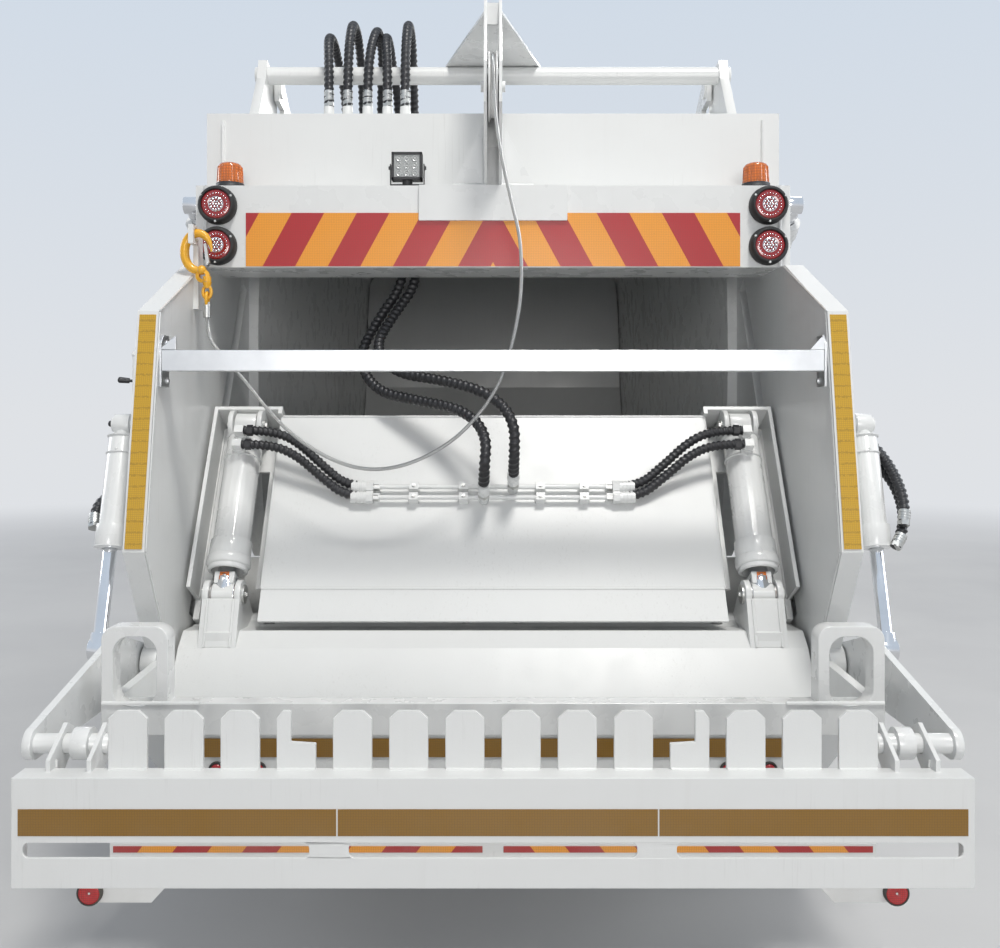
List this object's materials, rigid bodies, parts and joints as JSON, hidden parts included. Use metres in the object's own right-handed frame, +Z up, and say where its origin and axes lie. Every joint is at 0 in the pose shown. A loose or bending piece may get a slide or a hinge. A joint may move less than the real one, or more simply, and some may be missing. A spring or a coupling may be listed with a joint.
{
  "type": "rear loader refuse truck",
  "caption": "White rear-loading refuse truck with forward-control cab, sliding packer and sweep blade in an open hopper, comb bin lifter, winch rope and hinged tailgate.",
  "frame": {"origin": "on the ground under the middle of the truck's bounding box", "axes": "+X to the truck's right, +Y towards the cab, +Z up"},
  "size_m": [2.84, 8.2, 3.4953],
  "materials": {
    "white_paint": "gloss",
    "chassis_paint": "satin",
    "engine": "rough",
    "black_plastic": "matte",
    "cab_trim": "matte",
    "lamp_clear": "clear lens",
    "lamp_red": "lens",
    "amber": "lens",
    "hazard_sheet": "retroreflective sheet",
    "aluminium": "brushed",
    "rod_chrome": "polished",
    "wheel_paint": "gloss",
    "tyre": "rubber",
    "glass": "clear",
    "wire_rope": "bright wire",
    "hook_yellow": "powder coat",
    "hose_rubber": "rubber"
  },
  "bodies": {
    "chassis": {"chassis_frame": "chassis_paint", "leaf_springs": "chassis_paint", "front_axle": "chassis_paint", "rear_axle": "chassis_paint", "engine_block": "engine", "front_bumper": "black_plastic", "headlamps": "lamp_clear", "body_shell": "white_paint", "chassis_boxes": "white_paint", "guards": "white_paint"},
    "tailgate": {"tailgate_shell": "white_paint", "light_bar": "white_paint", "hazard_board": "hazard_sheet", "tail_lamp_rings": "black_plastic", "tail_lamp_lenses": "lamp_red", "beacons": "amber", "work_lamp": "black_plastic", "winch_mast": "white_paint", "grab_bar": "aluminium", "hopper_sill": "white_paint", "rear_beam": "white_paint", "control_box": "white_paint", "lift_rope": "wire_rope", "rope_hook": "hook_yellow", "feed_hoses": "hose_rubber", "roof_hoses": "hose_rubber"},
    "carrier": {"carrier_panel": "white_paint", "carrier_pipes": "white_paint", "cylinder_hoses": "hose_rubber"},
    "blade": {"sweep_blade": "white_paint"},
    "sweep_barrels": {"sweep_barrels": "white_paint"},
    "sweep_rods": {"sweep_rods": "rod_chrome"},
    "lift_barrels": {"lift_barrels": "white_paint"},
    "lift_rods": {"lift_rods": "rod_chrome"},
    "lifter_arms": {"lifter_arms": "white_paint"},
    "comb": {"comb_beam": "white_paint"},
    "lifter_barrels": {"lifter_barrels": "white_paint"},
    "lifter_rods": {"lifter_rods": "rod_chrome"},
    "ejector": {"ejector_panel": "white_paint"},
    "cab": {"cab_shell": "white_paint", "cab_glass": "glass", "cab_interior": "cab_trim", "cab_grille": "black_plastic", "mirrors": "black_plastic"},
    "left_door": {"door_left": "white_paint", "door_glass_left": "glass"},
    "right_door": {"door_right": "white_paint", "door_glass_right": "glass"},
    "left_knuckle": {"knuckle_left": "chassis_paint"},
    "right_knuckle": {"knuckle_right": "chassis_paint"},
    "front_left_wheel": {"front_wheel_left": "wheel_paint", "front_tyre_left": "tyre"},
    "front_right_wheel": {"front_wheel_right": "wheel_paint", "front_tyre_right": "tyre"},
    "rear_left_wheels": {"rear_wheels_left": "wheel_paint", "rear_tyres_left": "tyre"},
    "rear_right_wheels": {"rear_wheels_right": "wheel_paint", "rear_tyres_right": "tyre"}
  },
  "joints": [
    {"name": "tailgate_hinge", "type": "hinge", "parent": "chassis", "child": "tailgate", "pos_m": [0, -2.06, 3.215], "axis": [-1, 0, 0], "range_deg": [0, 80], "deforming": ["roof_hoses"]},
    {"name": "carrier_slide", "type": "slide", "parent": "tailgate", "child": "carrier", "axis": [0, 0.5, 0.866], "range_m": [0, 0.7], "deforming": ["feed_hoses"]},
    {"name": "blade_hinge", "type": "hinge", "parent": "carrier", "child": "blade", "pos_m": [0, -2.83, 0.93], "axis": [1, 0, 0], "range_deg": [0, 95]},
    {"name": "sweep_barrel_swing", "type": "hinge", "parent": "carrier", "child": "sweep_barrels", "pos_m": [0, -2.64376, 1.69658], "axis": [1, 0, 0], "range_deg": [0, 9.87], "deforming": ["cylinder_hoses"]},
    {"name": "sweep_rod_slide", "type": "slide", "parent": "sweep_barrels", "child": "sweep_rods", "axis": [0, -0.4873, -0.8733], "range_m": [0, 0.28977]},
    {"name": "lift_barrel_swing", "type": "hinge", "parent": "chassis", "child": "lift_barrels", "pos_m": [0, -1.45, 1.95], "axis": [-1, 0, 0], "range_deg": [0, 13.95]},
    {"name": "lift_rod_slide", "type": "slide", "parent": "lift_barrels", "child": "lift_rods", "axis": [0, -0.8114, 0.5845], "range_m": [0, 0.78959]},
    {"name": "lifter_arm_hinge", "type": "hinge", "parent": "tailgate", "child": "lifter_arms", "pos_m": [0, -3.15, 0.88], "axis": [-1, 0, 0], "range_deg": [0, 65]},
    {"name": "comb_tip", "type": "hinge", "parent": "lifter_arms", "child": "comb", "pos_m": [0, -3.96, 0.862], "axis": [-1, 0, 0], "range_deg": [0, 65]},
    {"name": "lifter_barrel_swing", "type": "hinge", "parent": "tailgate", "child": "lifter_barrels", "pos_m": [0, -3.18, 1.7], "axis": [1, 0, 0], "range_deg": [0, 18.55]},
    {"name": "lifter_rod_slide", "type": "slide", "parent": "lifter_barrels", "child": "lifter_rods", "axis": [0, 0.2922, 0.9564], "range_m": [0, 0.2015]},
    {"name": "ejector_slide", "type": "slide", "parent": "chassis", "child": "ejector", "axis": [0, -1, 0], "range_m": [0, 3.3]},
    {"name": "cab_tilt", "type": "hinge", "parent": "chassis", "child": "cab", "pos_m": [0, 3.85, 1.062], "axis": [-1, 0, 0], "range_deg": [0, 45]},
    {"name": "left_door_hinge", "type": "hinge", "parent": "cab", "child": "left_door", "pos_m": [-1.164, 3.856, 1.8], "axis": [0, 0, -1], "range_deg": [0, 70]},
    {"name": "right_door_hinge", "type": "hinge", "parent": "cab", "child": "right_door", "pos_m": [1.164, 3.856, 1.8], "axis": [0, 0, 1], "range_deg": [0, 70]},
    {"name": "left_steer", "type": "hinge", "parent": "chassis", "child": "left_knuckle", "pos_m": [-0.83, 2.77, 0.505], "axis": [0, 0, 1], "range_deg": [-35, 35]},
    {"name": "right_steer", "type": "hinge", "parent": "chassis", "child": "right_knuckle", "pos_m": [0.83, 2.77, 0.505], "axis": [0, 0, 1], "range_deg": [-35, 35]},
    {"name": "front_left_spin", "type": "hinge", "parent": "left_knuckle", "child": "front_left_wheel", "pos_m": [-0.995, 2.77, 0.505], "axis": [1, 0, 0], "continuous": true},
    {"name": "front_right_spin", "type": "hinge", "parent": "right_knuckle", "child": "front_right_wheel", "pos_m": [0.995, 2.77, 0.505], "axis": [1, 0, 0], "continuous": true},
    {"name": "rear_left_spin", "type": "hinge", "parent": "chassis", "child": "rear_left_wheels", "pos_m": [-0.9, -1.35, 0.505], "axis": [1, 0, 0], "continuous": true},
    {"name": "rear_right_spin", "type": "hinge", "parent": "chassis", "child": "rear_right_wheels", "pos_m": [0.9, -1.35, 0.505], "axis": [1, 0, 0], "continuous": true}
  ],
  "couplings": [
    {"joint": "sweep_barrel_swing", "follows": "blade_hinge", "ratio": 0.10386},
    {"joint": "sweep_rod_slide", "follows": "blade_hinge", "m_per_rad": 0.17476},
    {"joint": "lift_barrel_swing", "follows": "tailgate_hinge", "ratio": 0.17438},
    {"joint": "lift_rod_slide", "follows": "tailgate_hinge", "m_per_rad": 0.5655},
    {"joint": "comb_tip", "follows": "lifter_arm_hinge", "ratio": 1},
    {"joint": "lifter_barrel_swing", "follows": "lifter_arm_hinge", "ratio": 0.28534},
    {"joint": "lifter_rod_slide", "follows": "lifter_arm_hinge", "m_per_rad": 0.17761},
    {"joint": "right_steer", "follows": "left_steer", "ratio": 1}
  ]
}
